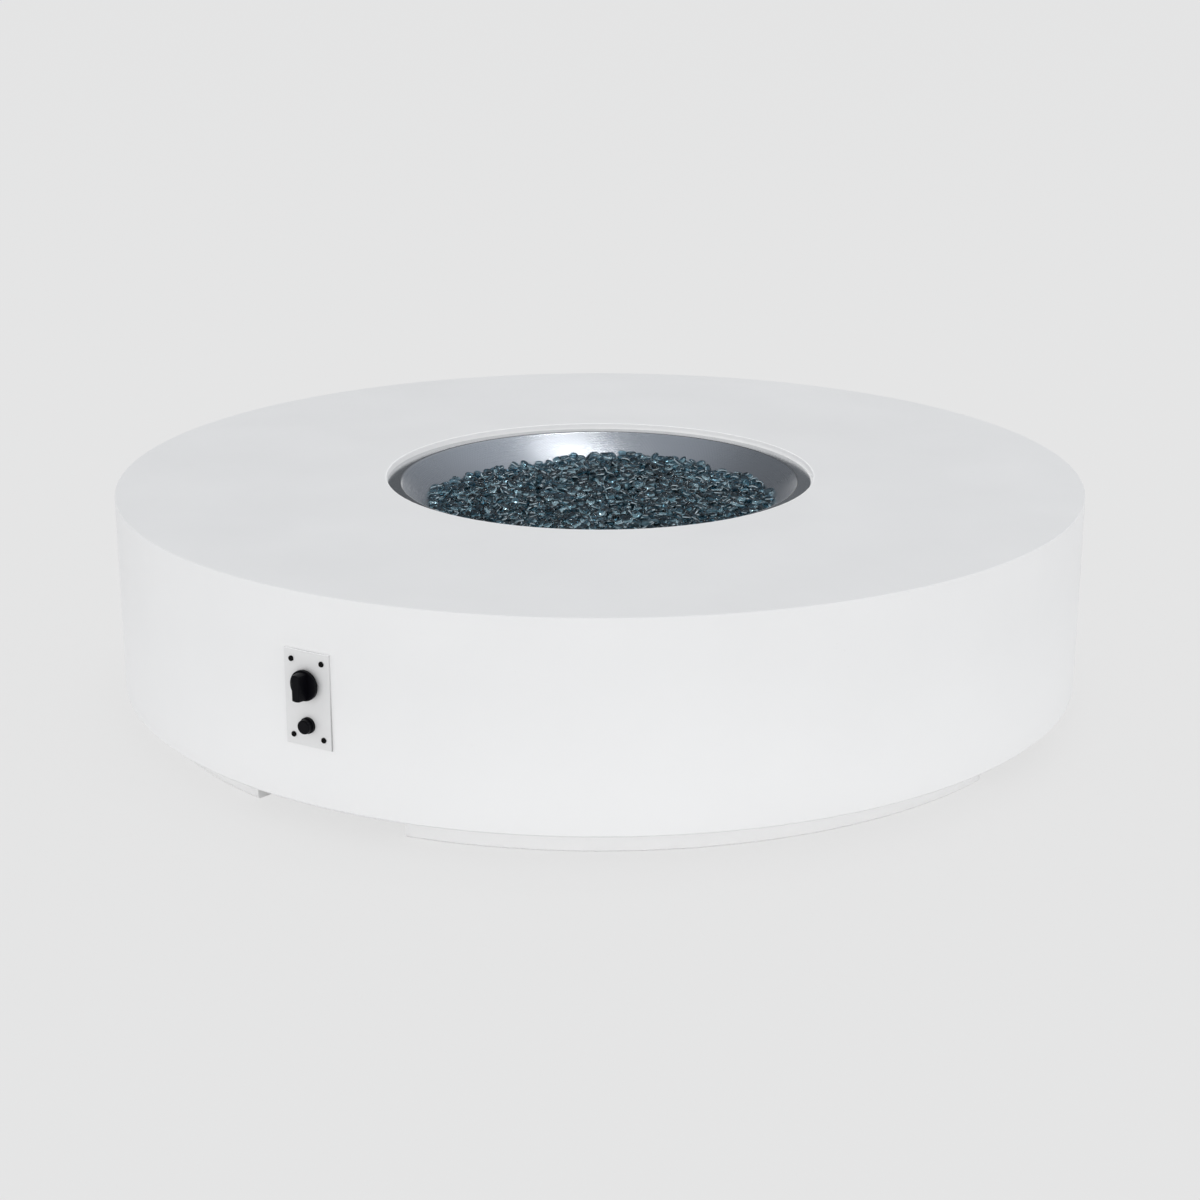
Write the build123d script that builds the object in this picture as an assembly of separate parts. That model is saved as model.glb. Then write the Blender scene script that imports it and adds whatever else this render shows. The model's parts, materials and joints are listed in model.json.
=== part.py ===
from build123d import *
import math
import os

# A round cast-concrete gas fire pit: a low drum on a set-back toe kick, with a spun steel
# bowl of glass beads in its deck and a control plate low on its front left.
# Millimetres, Z up, origin on the ground at the centre of the base, front towards -Y.
# A bearing is an angle about Z from the front, positive towards +X.

# Cast body
body_diameter = 1524
body_height = 346
skirt_wall = 32
deck_thickness = 45
arris_radius = 2
opening_arris_radius = 1.5
cove_bevel = 25
base_cove_bevel = 12
base_flange_width = 62
base_flange_thickness = 30
base_bevel = 3

# Toe kick
toe_height = 38
toe_setback = 42
toe_thickness = 44
toe_segment_angle = 72
toe_bevel = 2.5
access_bearing = -32.2
access_gap_angle = 20.9
toe_bolt_offset_angle = 24
toe_bolt_diameter = 10
toe_bolt_grip = 25
toe_bolt_head_width = 17
toe_bolt_head_height = 6.4

# Deck opening and spun bowl
opening_diameter = 680
bowl_drop = 9
bowl_rim_clearance = 2.5
bowl_rim_width = 20.75
bowl_neck_clearance = 7.25
bowl_depth = 115
bowl_gauge = 1.5
bowl_bend_radius = 5
bowl_pad_diameter = 80
bowl_shift = -1.5
drain_diameter = 8
drain_count = 4
drain_circle_diameter = 64

# Burner
ring_diameter = 300
ring_tube_diameter = 22
ring_lift = 38
spoke_count = 4
spoke_diameter = 18
hub_diameter = 36
hub_height = 32
port_count = 16
port_depth_in_ring = 6
port_diameter = 3
pipe_diameter = 21.3
pipe_bore = 15.8
nipple_length = 72
nipple_engagement = 14
locknut_width = 30
locknut_height = 6
mixer_diameter = 32
mixer_length = 58
mixer_slot_width = 12
mixer_slot_height = 18
elbow_width = 26
elbow_spigot_diameter = 18
elbow_spigot_length = 12

# Ignition at the ring
sensor_reach = 115
sensor_spacing = 18
sensor_diameter = 6
sensor_height = 42
electrode_diameter = 8
electrode_height = 34
spark_tip_diameter = 2
spark_tip_height = 9
bracket_gauge = 2
bracket_width = 36
bracket_depth = 36
hood_width = 32
hood_depth = 20
hood_height = 29
hood_gauge = 1
hood_slot_width = 3
grommet_hole_diameter = 12
grommet_flange_diameter = 17
grommet_flange_thickness = 2.5

# Fire glass
glass_crown = 3
glass_edge_drop = 44
glass_tilt = 0.7
bead_spacing = 25
bead_width = 18
bead_height = 12
bead_sides = 5
bead_taper = 32

# Control plate and its box
panel_bearing = -31.2
panel_drop = 150.6
plate_width = 76
plate_height = 137
plate_thickness = 3
plate_bevel = 0.5
plate_screw_spacing_side = 51
plate_screw_spacing_up = 109
plate_screw_diameter = 4
plate_screw_length = 9
plate_screw_head_diameter = 8
plate_screw_head_height = 2.4
plate_screw_key = 2.5
screw_round_share = 0.7
screw_key_floor_share = 0.45
plate_nut_diameter = 7.5
plate_nut_height = 5
box_margin = 3
box_gauge = 1.5
window_width = 42
window_height = 100
ear_width = 27
ear_height = 104
box_screw_spacing_side = 100
box_screw_spacing_up = 80
box_screw_diameter = 4.8
box_screw_length = 22
box_screw_head_diameter = 9
box_screw_head_height = 3

# Gas valve
valve_lift = 22
valve_screw_spacing = 28
valve_screw_diameter = 4
valve_screw_head_diameter = 7
valve_screw_head_height = 2.2
bonnet_width = 40
bonnet_height = 22
bonnet_thickness = 5
bonnet_corner_radius = 5
valve_flange_thickness = 6
valve_body_diameter = 31
valve_body_length = 78
spring_chamber_diameter = 20
spring_chamber_depth = 25
rear_chamber_diameter = 12
plug_front_diameter = 18
plug_rear_diameter = 14
plug_length = 32
plug_port_diameter = 6
plug_low_port_diameter = 2.5
outlet_port_depth = 50
inlet_port_depth = 70
port_boss_diameter = 20
port_boss_reach = 26
flare_diameter = 15.8
flare_length = 12
magnet_width = 17
magnet_length = 16
magnet_spigot_length = 4
magnet_stud_diameter = 9
magnet_stud_length = 8
stem_diameter = 8
stem_flat = 1.5
stem_collar_diameter = 14
stem_collar_thickness = 2
stem_tang_width = 3
stem_tang_breadth = 7
stem_tang_length = 7
stem_tip_height = 18
stem_spring_diameter = 12
spring_wire = 1.2
knob_travel = 4
knob_high_turn = 90
knob_low_turn = 210

# Knob
knob_diameter = 43.6
knob_gap = 5
knob_skirt_height = 5
knob_skirt_cavity_diameter = 38
knob_skirt_cavity_depth = 2.6
knob_grip_width = 14.5
knob_grip_length = 39.5
knob_grip_height = 16
knob_grip_draft = 4
knob_round = 1.2
knob_boss_diameter = 15
knob_bore_depth = 13.5

# Igniter
igniter_drop = 37
igniter_barrel_diameter = 17.6
igniter_barrel_wall = 1.5
igniter_barrel_length = 58
igniter_bezel_diameter = 23
igniter_bezel_height = 5
igniter_bezel_recess_depth = 3.7
igniter_bezel_round = 0.6
igniter_nut_width = 21
igniter_nut_height = 5
button_diameter = 20
button_height = 8
button_round = 1.5
button_stem_wall = 1.6
button_stem_length = 14
button_travel = 3
battery_diameter = 10.5
battery_length = 44.5
igniter_spring_diameter = 9
terminal_width = 5
terminal_thickness = 0.8
terminal_length = 8

# Gas inlet
inlet_side = -110
inlet_inset = 40
inlet_bracket_width = 64
inlet_bracket_overhang = 24
inlet_bracket_gauge = 3
inlet_bracket_lip = 12
inlet_screw_inset = 25
inlet_screw_spacing = 40
inlet_screw_diameter = 6
inlet_screw_length = 25
inlet_screw_head_width = 10
inlet_screw_head_height = 4
inlet_shank_diameter = 25
inlet_shank_length = 26
inlet_hex_width = 32
inlet_hex_height = 8
inlet_bore_diameter = 18.4
inlet_bore_depth = 16
inlet_passage_diameter = 10

# Hoses and leads
hose_diameter = 14
hose_nut_width = 22
hose_nut_length = 18
hose_straight_run = 75
hose_sag = 22
hose_sway = 20
hose_bend_share = 0.45
sensor_lead_diameter = 3
ignition_wire_diameter = 3.5
lead_height = 188
lead_straight_run = 60
lead_rise_run = 80
lead_spread = 16
lead_dip = 14

# Clearances, each on the radius or on one face
thread_clearance = 0.05
hole_clearance = 0.25
running_clearance = 0.06
casting_clearance = 0.5
glass_clearance = 0.3
seat_clearance = 0.1
cut_margin = 5

# What follows from the sizes above
body_radius = body_diameter / 2
skirt_inner_radius = body_radius - skirt_wall
base_flange_inner_radius = skirt_inner_radius - base_flange_width
base_flange_top = toe_height + base_flange_thickness
toe_outer_radius = body_radius - toe_setback
toe_inner_radius = toe_outer_radius - toe_thickness
toe_bolt_radius = (toe_outer_radius + toe_inner_radius) / 2

opening_radius = opening_diameter / 2
flange_top = body_height - bowl_drop
ledge_top = flange_top - bowl_gauge
bowl_rim_radius = opening_radius - bowl_rim_clearance
mouth_radius = bowl_rim_radius - bowl_rim_width
ledge_inner_radius = mouth_radius + bowl_neck_clearance
dish_radius = (mouth_radius**2 + bowl_depth**2) / (2 * bowl_depth)
dish_centre = flange_top - bowl_depth + dish_radius
bowl_place = Pos(bowl_shift, 0, 0)


def dish_height(radius, offset=0):
    """Height of the dish at a radius, on its inner face or offset outwards from it."""
    return dish_centre - math.sqrt((dish_radius + offset) ** 2 - radius**2)


def dish_width(height, offset=0):
    """Radius of the dish at a height, on its inner face or offset outwards from it."""
    return math.sqrt((dish_radius + offset) ** 2 - (dish_centre - height) ** 2)


pad_radius = bowl_pad_diameter / 2
pad_top = dish_height(pad_radius)
pad_bottom = pad_top - bowl_gauge
ring_height = pad_top + ring_lift
ring_radius = ring_diameter / 2
ring_tube_radius = ring_tube_diameter / 2
nipple_top = ring_height
nipple_bottom = nipple_top - nipple_length
mixer_top = nipple_bottom + nipple_engagement
mixer_bottom = mixer_top - mixer_length
elbow_height = mixer_bottom - elbow_width / 2
elbow_port_reach = elbow_width / 2 + flare_length
hood_top = ring_height + bracket_gauge + hood_height
glass_top = body_height - glass_edge_drop

plate_half_width = plate_width / 2
seat_distance = math.sqrt(body_radius**2 - plate_half_width**2)
panel_height = body_height - panel_drop
box_width = plate_width - 2 * box_margin
box_height = plate_height - 2 * box_margin
ear_reach = box_width / 2 + ear_width
ear_depth = seat_distance - math.sqrt(skirt_inner_radius**2 - ear_reach**2)
valve_rear = bonnet_thickness + valve_body_length
plug_front = bonnet_thickness + spring_chamber_depth
plug_rear = plug_front + plug_length
magnet_rear = valve_rear + magnet_length + magnet_stud_length
igniter_rear = igniter_barrel_length
port_end = port_boss_reach + flare_length
flange_edge_reach = math.sqrt(base_flange_inner_radius**2 - inlet_side**2)
inlet_reach = flange_edge_reach - inlet_inset
inlet_screw_reach = flange_edge_reach + inlet_screw_inset
cove_edge_radius = skirt_inner_radius - base_cove_bevel
inlet_far_side = abs(inlet_side) + inlet_bracket_width / 2
inlet_bracket_outer_reach = math.sqrt(cove_edge_radius**2 - inlet_far_side**2) - seat_clearance
inlet_bracket_top = base_flange_top + inlet_bracket_gauge
inlet_top = inlet_bracket_top + inlet_hex_height + flare_length
inlet_bottom = base_flange_top - inlet_shank_length


def bearing_direction(angle):
    """Level unit vector at a bearing: 0 is the front, positive towards +X."""
    turn = math.radians(angle)
    return Vector(math.sin(turn), -math.cos(turn), 0)


panel_out = bearing_direction(panel_bearing)
panel_side = bearing_direction(panel_bearing + 90)
panel = Plane(
    origin=panel_out * seat_distance + Vector(0, 0, panel_height),
    x_dir=panel_side,
    z_dir=panel_out,
)
valve_axis = panel * Pos(0, valve_lift, 0)
igniter_axis = panel * Pos(0, -igniter_drop, 0)


def toward_panel(side, reach, height):
    """Point seen from the middle of the base: sideways, out towards the panel, and up."""
    return panel_side * side + panel_out * reach + Vector(0, 0, height)


def bowl_point(side, reach, height):
    """The same, counted from the bowl's own axis."""
    return toward_panel(side, reach, height) + Vector(bowl_shift, 0, 0)


def rod(diameter, low, high):
    """Round bar along Z between two heights."""
    return Pos(0, 0, (low + high) / 2) * Cylinder(diameter / 2, high - low)


def tube(outer, inner, low, high):
    """Round tube along Z between two heights."""
    return rod(outer, low, high) - rod(inner, low - cut_margin, high + cut_margin)


def hexagon(width, low, high):
    """Hexagon bar along Z, width across its flats."""
    section = RegularPolygon(width / 2, 6, major_radius=False)
    return extrude(Pos(0, 0, low) * section, high - low)


def slab(width, height, low, high, corner=0):
    """Rectangular plate in X and Y between two heights, with rounded corners if given."""
    section = RectangleRounded(width, height, corner) if corner else Rectangle(width, height)
    return extrude(Pos(0, 0, low) * section, high - low)


def corner_points(side, up):
    """The four corners of a screw pattern."""
    return [Pos(x * side / 2, y * up / 2, 0) for x in (-1, 1) for y in (-1, 1)]


def turned(outline, bevels=(), rounds=(), arc=360):
    """Solid turned about Z from (radius, height) points, with corners bevelled or rounded."""
    face = make_face(Polyline(*outline, close=True))
    for point, length in bevels:
        face = chamfer(face.vertices().sort_by_distance(point)[0], length)
    for point, radius in rounds:
        face = fillet(face.vertices().sort_by_distance(point)[0], radius)
    return revolve(Plane.XZ * face, Axis.Z, arc)


def round_place(angle, radius):
    """Location at a bearing and radius whose X axis points outwards."""
    return Rot(0, 0, angle - 90) * Pos(radius, 0, 0)


def hose_run(points, diameter):
    """Tube along straight runs joined by tangent arcs, each as large as its runs allow."""
    radii = []
    for before, at, after in zip(points, points[1:], points[2:]):
        turn = math.radians((at - before).get_angle(after - at))
        shorter = min((at - before).length, (after - at).length)
        radii.append(hose_bend_share * shorter / math.tan(turn / 2))
    path = FilletPolyline(*points, radius=radii)
    section = Plane(origin=path @ 0, z_dir=path % 0) * Circle(diameter / 2)
    made = sweep(section, path)
    share = made.volume / (math.pi * diameter**2 / 4 * path.length)
    smallest = min(radii)
    print(f"run of {path.length:.0f} mm, least radius {smallest:.0f}, volume share {share:.4f}")
    return made


def bolt(diameter, length, head_width, head_height):
    """Hexagon bolt with its head above z = 0 and its shank below."""
    return hexagon(head_width, 0, head_height) + rod(diameter, -length, 0)


def socket_screw(diameter, length, head_diameter, head_height, key):
    """Button-head screw with a hexagon socket, its head above z = 0."""
    head = rod(head_diameter, 0, head_height)
    head = fillet(head.edges().group_by(Axis.Z)[-1], head_height * screw_round_share)
    head -= hexagon(key, head_height * screw_key_floor_share, head_height + cut_margin)
    return head + rod(diameter, -length, 0)


def toe_bearings():
    """Start bearing of each toe segment, the front one first, going round to the right."""
    other_gap = (360 - 4 * toe_segment_angle - access_gap_angle) / 3
    first = access_bearing + access_gap_angle / 2
    return [first + k * (toe_segment_angle + other_gap) for k in range(4)]


def toe_bolt_places():
    """Where a bolt goes down through the base flange, two for each segment."""
    places = []
    for start in toe_bearings():
        middle = start + toe_segment_angle / 2
        for side in (-1, 1):
            places.append(round_place(middle + side * toe_bolt_offset_angle, toe_bolt_radius))
    return places


def inlet_screw_places():
    """Where the inlet bracket is screwed to the base flange, seen from above."""
    frame = Plane(origin=(0, 0, base_flange_top), x_dir=panel_side, z_dir=(0, 0, 1))
    sides = (-inlet_screw_spacing / 2, inlet_screw_spacing / 2)
    return [frame * Pos(inlet_side + s, -inlet_screw_reach, 0) for s in sides]


def concrete_shell():
    """The casting: deck, skirt and inward base flange, open below, with its cut-outs."""
    underside = body_height - deck_thickness
    outline = [
        (ledge_inner_radius, underside),
        (ledge_inner_radius, ledge_top),
        (opening_radius, ledge_top),
        (opening_radius, body_height),
        (body_radius, body_height),
        (body_radius, toe_height),
        (base_flange_inner_radius, toe_height),
        (base_flange_inner_radius, base_flange_top),
        (skirt_inner_radius, base_flange_top),
        (skirt_inner_radius, underside),
    ]
    bevels = [
        ((body_radius, toe_height), base_bevel),
        ((skirt_inner_radius, underside), cove_bevel),
        ((skirt_inner_radius, base_flange_top), base_cove_bevel),
    ]
    rounds = [
        ((opening_radius, body_height), opening_arris_radius),
        ((body_radius, body_height), arris_radius),
    ]
    shell = turned(outline, bevels, rounds)
    seat = slab(plate_width * 2, plate_height + 2 * casting_clearance, 0, skirt_wall)
    shell -= panel * seat
    window = slab(
        box_width + 2 * casting_clearance,
        box_height + 2 * casting_clearance,
        -skirt_wall - cut_margin,
        cut_margin,
    )
    shell -= panel * window
    for place in corner_points(box_screw_spacing_side, box_screw_spacing_up):
        hole = rod(box_screw_diameter + 2 * thread_clearance, -ear_depth, box_screw_length - ear_depth)
        shell -= panel * place * hole
    bolt_hole = rod(
        toe_bolt_diameter + 2 * hole_clearance, toe_height - cut_margin, base_flange_top + cut_margin
    )
    for place in toe_bolt_places():
        shell -= place * bolt_hole
    for place in inlet_screw_places():
        shell -= place * rod(inlet_screw_diameter + 2 * thread_clearance, -inlet_screw_length, cut_margin)
    return shell


def toe_segment(start):
    """One cast segment of the toe kick, with blind holes for its two bolts."""
    outline = [
        (toe_inner_radius, 0),
        (toe_outer_radius, 0),
        (toe_outer_radius, toe_height),
        (toe_inner_radius, toe_height),
    ]
    bevels = [((toe_outer_radius, 0), toe_bevel)]
    segment = Rot(0, 0, start - 90) * turned(outline, bevels, arc=toe_segment_angle)
    hole = rod(toe_bolt_diameter + 2 * thread_clearance, toe_height - toe_bolt_grip, toe_height + cut_margin)
    middle = start + toe_segment_angle / 2
    for side in (-1, 1):
        segment -= round_place(middle + side * toe_bolt_offset_angle, toe_bolt_radius) * hole
    return segment


def toe_bolts():
    """Bolts put in from inside the drum, down into the toe segments."""
    length = base_flange_thickness + toe_bolt_grip - seat_clearance
    one = bolt(toe_bolt_diameter, length, toe_bolt_head_width, toe_bolt_head_height)
    return [place * Pos(0, 0, base_flange_top) * one for place in toe_bolt_places()]


def sensor_places():
    """Upright axes of the flame sensor and the spark electrode, at z = 0."""
    half = sensor_spacing / 2
    return [bowl_point(side, sensor_reach, 0) for side in (-half, half)]


def grommet_planes():
    """Where the two leads pass the dish: on its inner face, square to it."""
    planes = []
    for point in sensor_places():
        radius = math.hypot(sensor_reach, sensor_spacing / 2)
        foot = point + Vector(0, 0, dish_height(radius))
        centre = Vector(bowl_shift, 0, dish_centre)
        planes.append(Plane(origin=foot, z_dir=centre - foot))
    return planes


def burner_bowl():
    """Spun dish with a flat rim, a flat pad for the burner, drains and two lead holes."""
    rim = bowl_rim_radius
    hole = pipe_diameter / 2 + hole_clearance
    inner_low = (pad_radius, pad_top)
    inner_high = (mouth_radius, flange_top)
    outer_low = (dish_width(pad_bottom, bowl_gauge), pad_bottom)
    outer_high = (dish_width(ledge_top, bowl_gauge), ledge_top)
    half_way = (pad_radius + mouth_radius) / 2
    inner_middle = (half_way, dish_height(half_way))
    outer_middle = (half_way, dish_height(half_way, bowl_gauge))
    edges = [
        Line((hole, pad_top), inner_low),
        ThreePointArc(inner_low, inner_middle, inner_high),
        Polyline(inner_high, (rim, flange_top), (rim, ledge_top), outer_high),
        ThreePointArc(outer_high, outer_middle, outer_low),
        Polyline(outer_low, (hole, pad_bottom), (hole, pad_top)),
    ]
    face = make_face(Curve() + edges)
    face = fillet(face.vertices().sort_by_distance(inner_high)[0], bowl_bend_radius)
    face = fillet(face.vertices().sort_by_distance(outer_high)[0], bowl_bend_radius - bowl_gauge)
    bowl = bowl_place * revolve(Plane.XZ * face, Axis.Z, 360)
    drain = rod(drain_diameter, pad_bottom - cut_margin, pad_top + cut_margin)
    for k in range(drain_count):
        turn = Rot(0, 0, k * 360 / drain_count)
        bowl -= bowl_place * turn * Pos(drain_circle_diameter / 2, 0, 0) * drain
    for plane in grommet_planes():
        bowl -= plane * rod(grommet_hole_diameter, -cut_margin, cut_margin)
    return bowl


def spoke_angle(k):
    """Direction of a spoke from +X. The spokes keep clear of the ignition tab."""
    return panel_bearing + 45 + k * 360 / spoke_count


def burner_ring():
    """Welded burner: ring, spokes and hub, with the ring's gas ports drilled on a slant."""
    low = ring_height - hub_height / 2
    high = ring_height + hub_height / 2
    burner = Pos(0, 0, ring_height) * Torus(ring_radius, ring_tube_radius)
    burner += rod(hub_diameter, low, high)
    for k in range(spoke_count):
        lay = Pos(0, 0, ring_height) * Rot(0, 0, spoke_angle(k)) * Rot(0, 90, 0)
        burner += lay * rod(spoke_diameter, 0, ring_radius)
    burner -= rod(pipe_diameter + 2 * thread_clearance, low - cut_margin, nipple_top + seat_clearance)
    inner = ring_tube_radius - port_depth_in_ring
    for k in range(port_count):
        turn = Rot(0, 0, (k + 0.5) * 360 / port_count)
        port = turn * Pos(ring_radius, 0, ring_height) * Rot(0, 45, 0)
        burner -= port * rod(port_diameter, inner, ring_tube_diameter)
    return bowl_place * burner


def burner_nipple():
    """Pipe nipple from the hub down through the bowl."""
    return bowl_place * tube(pipe_diameter, pipe_bore, nipple_bottom, nipple_top)


def nipple_nuts():
    """Two locknuts that clamp the nipple to the bowl's pad, above and below."""
    bore = pipe_diameter + 2 * thread_clearance
    nuts = []
    for low in (pad_top, pad_bottom - locknut_height):
        nut = hexagon(locknut_width, low, low + locknut_height)
        nuts.append(bowl_place * (nut - rod(bore, low - cut_margin, low + locknut_height + cut_margin)))
    return nuts


def air_mixer():
    """Brass sleeve under the nipple with two air windows."""
    mixer = rod(mixer_diameter, mixer_bottom, mixer_top)
    mixer -= rod(pipe_diameter + 2 * thread_clearance, nipple_bottom, mixer_top + cut_margin)
    mixer -= rod(pipe_bore, mixer_bottom + elbow_spigot_length, nipple_bottom + cut_margin)
    spigot = elbow_spigot_diameter + 2 * thread_clearance
    mixer -= rod(spigot, mixer_bottom - cut_margin, mixer_bottom + elbow_spigot_length)
    middle = (nipple_bottom + mixer_bottom + elbow_spigot_length) / 2
    slot = Box(mixer_diameter * 2, mixer_slot_width, mixer_slot_height)
    mixer -= Rot(0, 0, panel_bearing) * Pos(0, 0, middle) * slot
    return bowl_place * mixer


def orifice_elbow():
    """Brass elbow: spigot up into the mixer, flare port towards the panel, drilled jet."""
    face_to_panel = Plane(origin=bowl_point(0, 0, elbow_height), x_dir=panel_side, z_dir=panel_out)
    body = face_to_panel * Box(elbow_width, elbow_width, elbow_width)
    body += bowl_place * rod(elbow_spigot_diameter, elbow_height, mixer_bottom + elbow_spigot_length)
    body += face_to_panel * rod(flare_diameter, 0, elbow_port_reach)
    gas_bore = flare_diameter / 2
    body -= face_to_panel * rod(gas_bore, -gas_bore / 2, elbow_port_reach + cut_margin)
    top = mixer_bottom + elbow_spigot_length + cut_margin
    return body - bowl_place * rod(port_diameter, elbow_height, top)


def electrode_bracket():
    """Steel tab welded to the inside of the ring, with a hole for each of the two rods."""
    low = ring_height
    high = low + bracket_gauge
    plate = slab(bracket_width, bracket_depth, low, high)
    frame = Plane(origin=bowl_point(0, sensor_reach, 0), x_dir=panel_side, z_dir=(0, 0, 1))
    tab = frame * Pos(0, -bracket_depth / 2 + hood_depth / 2 + bracket_gauge, 0) * plate
    bound = ring_radius - ring_tube_radius - seat_clearance
    tab &= bowl_place * rod(2 * bound, low - cut_margin, high + cut_margin)
    for point, width in zip(sensor_places(), (sensor_diameter, electrode_diameter)):
        tab -= Pos(point) * rod(width + 2 * thread_clearance, low - cut_margin, high + cut_margin)
    return tab


def flame_hood():
    """Slotted sheet hood over the sensor and the electrode."""
    low = ring_height + bracket_gauge
    round_end = hood_depth / 2
    hood = slab(hood_width, hood_depth, low, hood_top, round_end - seat_clearance)
    inner = slab(
        hood_width - 2 * hood_gauge,
        hood_depth - 2 * hood_gauge,
        low - cut_margin,
        hood_top - hood_gauge,
        round_end - hood_gauge - seat_clearance,
    )
    hood -= inner
    slot = Box(hood_slot_width, hood_depth * 2, hood_height / 2)
    for k in (-1, 0, 1):
        hood -= Pos(k * hood_slot_width * 2, 0, low + hood_height / 2) * slot
    frame = Plane(origin=bowl_point(0, sensor_reach, 0), x_dir=panel_side, z_dir=(0, 0, 1))
    return frame * hood


def sensor_foot():
    """Height of the lower ends of the sensor and the electrode, clear of the dish."""
    return dish_height(sensor_reach) + grommet_flange_thickness * 3


def flame_sensor():
    """Thermocouple tip, a rod with a bevelled end."""
    low = sensor_foot()
    tip = rod(sensor_diameter, low, low + sensor_height)
    tip = chamfer(tip.edges().group_by(Axis.Z)[-1], sensor_diameter / 4)
    return Pos(sensor_places()[0]) * tip


def spark_electrode():
    """Ceramic insulator with a wire tip bent towards the ring."""
    low = sensor_foot()
    high = low + electrode_height
    insulator = rod(electrode_diameter, low, high)
    insulator = chamfer(insulator.edges().group_by(Axis.Z)[-1], electrode_diameter / 4)
    wire = rod(spark_tip_diameter, high - spark_tip_diameter, high + spark_tip_height)
    return Pos(sensor_places()[1]) * (insulator + wire)


def bowl_grommets():
    """Two rubber grommets in the dish, each with the bore of its own lead."""
    neck = grommet_hole_diameter - 2 * thread_clearance
    low = -bowl_gauge - seat_clearance - grommet_flange_thickness
    high = seat_clearance + grommet_flange_thickness
    grommets = []
    leads = (sensor_lead_diameter, ignition_wire_diameter)
    for plane, point, lead in zip(grommet_planes(), sensor_places(), leads):
        body = rod(neck, low, high)
        body += rod(grommet_flange_diameter, low, low + grommet_flange_thickness)
        body += rod(grommet_flange_diameter, high - grommet_flange_thickness, high)
        bore = Pos(point) * rod(lead + 2 * thread_clearance, nipple_bottom, body_height)
        grommets.append(plane * body - bore)
    return grommets


def glass_surface(x):
    """Height of the settled glass at x: it lies a little higher to the right."""
    return glass_top + math.tan(math.radians(glass_tilt)) * (x - bowl_shift)


def fire_glass_bed():
    """The settled mass of glass: it fills the dish round the burner, its top uneven."""
    floor = pad_top + glass_clearance
    offset = -glass_clearance
    high = glass_top + 2 * glass_crown
    low_radius = dish_width(floor, offset)
    high_radius = dish_width(high, offset)
    half_way = (low_radius + high_radius) / 2
    edges = [
        Polyline((0, high), (0, floor), (low_radius, floor)),
        ThreePointArc(
            (low_radius, floor), (half_way, dish_height(half_way, offset)), (high_radius, high)
        ),
        Line((high_radius, high), (0, high)),
    ]
    bed = revolve(Plane.XZ * make_face(Curve() + edges), Axis.Z, 360)
    reach = body_diameter
    level = Pos(0, 0, glass_top) * Rot(0, -glass_tilt, 0)
    bed -= level * Pos(0, 0, reach / 2) * Box(reach, reach, reach)
    # The burner lies in channels that open downwards.
    slack = 2 * casting_clearance
    ring_top = ring_height + ring_tube_radius + slack
    ring_outer = 2 * (ring_radius + ring_tube_radius + slack)
    ring_inner = 2 * (ring_radius - ring_tube_radius - slack)
    bed -= tube(ring_outer, ring_inner, floor - cut_margin, ring_top)
    hub_space = rod(hub_diameter + 2 * slack, floor - cut_margin, ring_height + hub_height / 2 + slack)
    bed -= hub_space
    spoke_top = ring_height + spoke_diameter / 2 + slack
    spoke_low = floor - cut_margin
    for k in range(spoke_count):
        arm = Box(ring_radius, spoke_diameter + 2 * slack, spoke_top - spoke_low)
        middle = Pos(ring_radius / 2, 0, (spoke_top + spoke_low) / 2)
        bed -= Rot(0, 0, spoke_angle(k)) * middle * arm
    pocket = slab(
        bracket_width + 2 * slack,
        ring_radius - sensor_reach + bracket_depth,
        floor - cut_margin,
        hood_top + slack,
    )
    frame = Plane(origin=toward_panel(0, sensor_reach, 0), x_dir=panel_side, z_dir=(0, 0, 1))
    bed -= frame * Pos(0, -(ring_radius - sensor_reach) / 2 + bracket_depth / 4, 0) * pocket
    return bowl_place * bed


def bead_form():
    """One glass bead: a faceted pebble, widest at mid height."""
    middle = RegularPolygon(bead_width / 2, bead_sides)
    half = extrude(middle, bead_height / 2, taper=bead_taper)
    return Pos(0, 0, bead_height / 2) * (half + mirror(half, Plane.XY))


def fire_glass_beads():
    """Loose beads on top of the bed, spread by the golden angle, no two touching."""
    beads = []
    form = bead_form()
    golden = 180 * (3 - math.sqrt(5))
    edge = dish_width(glass_top, -glass_clearance) - bead_width / 2 - bead_height
    count = int((edge / bead_spacing) ** 2 * math.pi)
    for k in range(count):
        radius = bead_spacing * math.sqrt((k + 0.5) / math.pi)
        angle = math.radians(golden * k)
        x = radius * math.cos(angle) + bowl_shift
        y = radius * math.sin(angle)
        bead = Rot(0, -glass_tilt, golden * k * 3) * form
        beads.append(Pos(x, y, glass_surface(x) + glass_clearance) * bead)
    return beads


def control_box():
    """Open-backed sheet box in the casting, with a front frame and two ears behind."""
    depth = ear_depth + box_gauge
    box = slab(box_width, box_height, -depth, 0)
    inner_width = box_width - 2 * box_gauge
    inner_height = box_height - 2 * box_gauge
    box -= slab(inner_width, inner_height, -depth - cut_margin, -box_gauge)
    box -= slab(window_width, window_height, -cut_margin, cut_margin)
    ears = slab(2 * ear_reach, ear_height, -depth, -ear_depth)
    box += ears - slab(box_width, ear_height + cut_margin, -depth - cut_margin, 0)
    for place in corner_points(plate_screw_spacing_side, plate_screw_spacing_up):
        box -= place * rod(plate_screw_diameter + 2 * hole_clearance, -cut_margin, cut_margin)
    for place in corner_points(box_screw_spacing_side, box_screw_spacing_up):
        box -= place * rod(box_screw_diameter + 2 * hole_clearance, -depth - cut_margin, 0)
    return panel * box


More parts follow.
